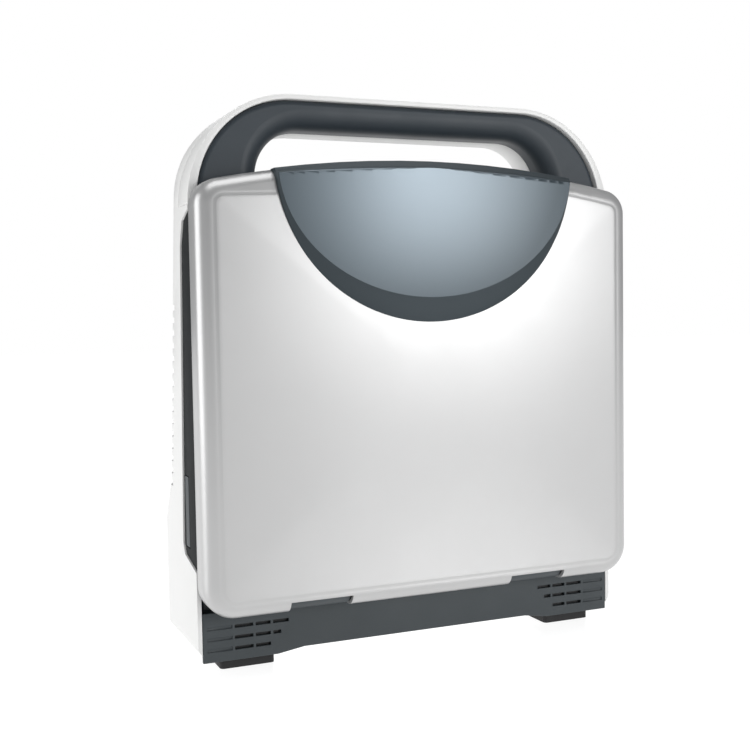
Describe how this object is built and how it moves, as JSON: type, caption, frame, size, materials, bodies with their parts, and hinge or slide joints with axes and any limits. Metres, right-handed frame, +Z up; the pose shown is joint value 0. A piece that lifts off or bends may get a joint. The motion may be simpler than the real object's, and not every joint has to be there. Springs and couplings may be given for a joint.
{
  "type": "portable ultrasound scanner",
  "caption": "Clamshell portable ultrasound scanner, closed and standing on its hinge end, with a carrying handle, half-moon lid pad, vents, sockets and an opening display lid.",
  "frame": {"origin": "middle of the bounding box at floor level, under the standing feet", "axes": "+X across the lid, -Y the side with the lid, +Z up to the handle"},
  "size_m": [0.29, 0.12, 0.344],
  "materials": {
    "shell_white": "fine-textured satin",
    "crescent_grey": "metallic satin",
    "grip_grey": "soft-touch",
    "trim_dark": "fine-textured",
    "deck_grey": "fine-textured",
    "key_plastic": "satin",
    "accent_key": "satin",
    "ball_gloss": "polished",
    "ring_metal": "turned",
    "rubber": "matt",
    "screen_glass": "anti-glare",
    "aluminium": "sheet",
    "board_green": "solder mask",
    "steel": "plated",
    "black_plastic": "moulded"
  },
  "bodies": {
    "main_unit": {"air_filters": "black_plastic", "back_feet": "rubber", "battery_pack": "black_plastic", "chassis_tray": "aluminium", "control_deck": "deck_grey", "data_ports": "black_plastic", "fan_frame": "black_plastic", "front_frame": "trim_dark", "handle_front_rim": "shell_white", "handle_grip": "grip_grey", "heat_sink": "aluminium", "hinge_covers": "trim_dark", "hinge_end_panel": "trim_dark", "housing_screws": "steel", "keypad_board": "board_green", "main_board": "board_green", "power_inlet": "black_plastic", "power_module": "aluminium", "probe_board": "board_green", "probe_socket": "black_plastic", "rear_housing": "shell_white", "side_trim_left": "trim_dark", "side_trim_right": "trim_dark", "speaker": "black_plastic", "standing_feet": "rubber", "trackball_cup": "black_plastic", "trackball_ring": "ring_metal", "usb_ports": "black_plastic"},
    "lid": {"lid_shell": "shell_white", "lid_crescent": "crescent_grey", "display_bezel": "deck_grey", "screen_glass": "screen_glass", "display_panel": "aluminium", "hinge_pins": "steel", "hinge_arms": "steel"},
    "latch_bar": {"latch_bar": "trim_dark"},
    "battery_door": {"battery_door": "deck_grey"},
    "battery_latch": {"battery_latch": "trim_dark"},
    "probe_lock_knob": {"probe_lock_knob": "deck_grey"},
    "port_cover": {"port_cover": "trim_dark"},
    "trackball": {"trackball": "ball_gloss"},
    "power_button": {"power_button": "key_plastic"},
    "gain_knob": {"gain_knob": "key_plastic"},
    "menu_knob": {"menu_knob": "key_plastic"},
    "freeze_key": {"freeze_key": "accent_key"},
    "save_key": {"save_key": "key_plastic"},
    "set_key_left": {"set_key_left": "key_plastic"},
    "set_key_right": {"set_key_right": "key_plastic"},
    "function_keys": {"function_keys": "key_plastic"},
    "fan_rotor": {"fan_rotor": "black_plastic"},
    "gain_slider_1": {"gain_slider_1": "key_plastic"},
    "gain_slider_2": {"gain_slider_2": "key_plastic"},
    "gain_slider_3": {"gain_slider_3": "key_plastic"},
    "gain_slider_4": {"gain_slider_4": "key_plastic"},
    "gain_slider_5": {"gain_slider_5": "key_plastic"},
    "gain_slider_6": {"gain_slider_6": "key_plastic"},
    "key_row_1": {"key_row_1": "key_plastic"},
    "key_row_2": {"key_row_2": "key_plastic"},
    "key_row_3": {"key_row_3": "key_plastic"},
    "key_row_4": {"key_row_4": "key_plastic"}
  },
  "joints": [
    {"name": "lid_hinge", "type": "hinge", "parent": "main_unit", "child": "lid", "pos_m": [0, -0.042, 0.046], "axis": [1, 0, 0], "range_deg": [0, 95]},
    {"name": "latch_bar_slide", "type": "slide", "parent": "lid", "child": "latch_bar", "axis": [1, 0, 0], "range_m": [0, 0.005], "stiffness_N_per_m": 300},
    {"name": "battery_door_slide", "type": "slide", "parent": "main_unit", "child": "battery_door", "axis": [0, 1, 0], "range_m": [0, 0.025]},
    {"name": "battery_latch_slide", "type": "slide", "parent": "main_unit", "child": "battery_latch", "axis": [1, 0, 0], "range_m": [0, 0.004], "stiffness_N_per_m": 300},
    {"name": "probe_lock_turn", "type": "hinge", "parent": "main_unit", "child": "probe_lock_knob", "pos_m": [0.1435, 0.024, 0.09], "axis": [1, 0, 0], "range_deg": [0, 90]},
    {"name": "port_cover_hinge", "type": "hinge", "parent": "main_unit", "child": "port_cover", "pos_m": [-0.1435, -0.0112, 0.094], "axis": [0, 0, 1], "range_deg": [0, 100]},
    {"name": "trackball_roll", "type": "hinge", "parent": "main_unit", "child": "trackball", "pos_m": [0, -0.019, 0.222], "axis": [1, 0, 0], "continuous": true},
    {"name": "gain_knob_turn", "type": "hinge", "parent": "main_unit", "child": "gain_knob", "pos_m": [-0.074, -0.03, 0.202], "axis": [0, 1, 0], "continuous": true},
    {"name": "menu_knob_turn", "type": "hinge", "parent": "main_unit", "child": "menu_knob", "pos_m": [0.074, -0.03, 0.202], "axis": [0, 1, 0], "continuous": true},
    {"name": "gain_slider_1_slide", "type": "slide", "parent": "main_unit", "child": "gain_slider_1", "axis": [1, 0, 0], "range_m": [-0.009, 0.009]},
    {"name": "gain_slider_2_slide", "type": "slide", "parent": "main_unit", "child": "gain_slider_2", "axis": [1, 0, 0], "range_m": [-0.009, 0.009]},
    {"name": "gain_slider_3_slide", "type": "slide", "parent": "main_unit", "child": "gain_slider_3", "axis": [1, 0, 0], "range_m": [-0.009, 0.009]},
    {"name": "gain_slider_4_slide", "type": "slide", "parent": "main_unit", "child": "gain_slider_4", "axis": [1, 0, 0], "range_m": [-0.009, 0.009]},
    {"name": "gain_slider_5_slide", "type": "slide", "parent": "main_unit", "child": "gain_slider_5", "axis": [1, 0, 0], "range_m": [-0.009, 0.009]},
    {"name": "gain_slider_6_slide", "type": "slide", "parent": "main_unit", "child": "gain_slider_6", "axis": [1, 0, 0], "range_m": [-0.009, 0.009]},
    {"name": "power_button_press", "type": "slide", "parent": "main_unit", "child": "power_button", "axis": [0, 1, 0], "range_m": [0, 0.0015], "stiffness_N_per_m": 600},
    {"name": "freeze_key_press", "type": "slide", "parent": "main_unit", "child": "freeze_key", "axis": [0, 1, 0], "range_m": [0, 0.0015], "stiffness_N_per_m": 600},
    {"name": "save_key_press", "type": "slide", "parent": "main_unit", "child": "save_key", "axis": [0, 1, 0], "range_m": [0, 0.0015], "stiffness_N_per_m": 600},
    {"name": "set_key_left_press", "type": "slide", "parent": "main_unit", "child": "set_key_left", "axis": [0, 1, 0], "range_m": [0, 0.0015], "stiffness_N_per_m": 600},
    {"name": "set_key_right_press", "type": "slide", "parent": "main_unit", "child": "set_key_right", "axis": [0, 1, 0], "range_m": [0, 0.0015], "stiffness_N_per_m": 600},
    {"name": "function_keys_press", "type": "slide", "parent": "main_unit", "child": "function_keys", "axis": [0, 1, 0], "range_m": [0, 0.0015], "stiffness_N_per_m": 600},
    {"name": "key_row_1_press", "type": "slide", "parent": "main_unit", "child": "key_row_1", "axis": [0, 1, 0], "range_m": [0, 0.0015], "stiffness_N_per_m": 600},
    {"name": "key_row_2_press", "type": "slide", "parent": "main_unit", "child": "key_row_2", "axis": [0, 1, 0], "range_m": [0, 0.0015], "stiffness_N_per_m": 600},
    {"name": "key_row_3_press", "type": "slide", "parent": "main_unit", "child": "key_row_3", "axis": [0, 1, 0], "range_m": [0, 0.0015], "stiffness_N_per_m": 600},
    {"name": "key_row_4_press", "type": "slide", "parent": "main_unit", "child": "key_row_4", "axis": [0, 1, 0], "range_m": [0, 0.0015], "stiffness_N_per_m": 600},
    {"name": "fan_spin", "type": "hinge", "parent": "main_unit", "child": "fan_rotor", "pos_m": [-0.106, -0.012, 0.036], "axis": [0, 1, 0], "continuous": true}
  ]
}
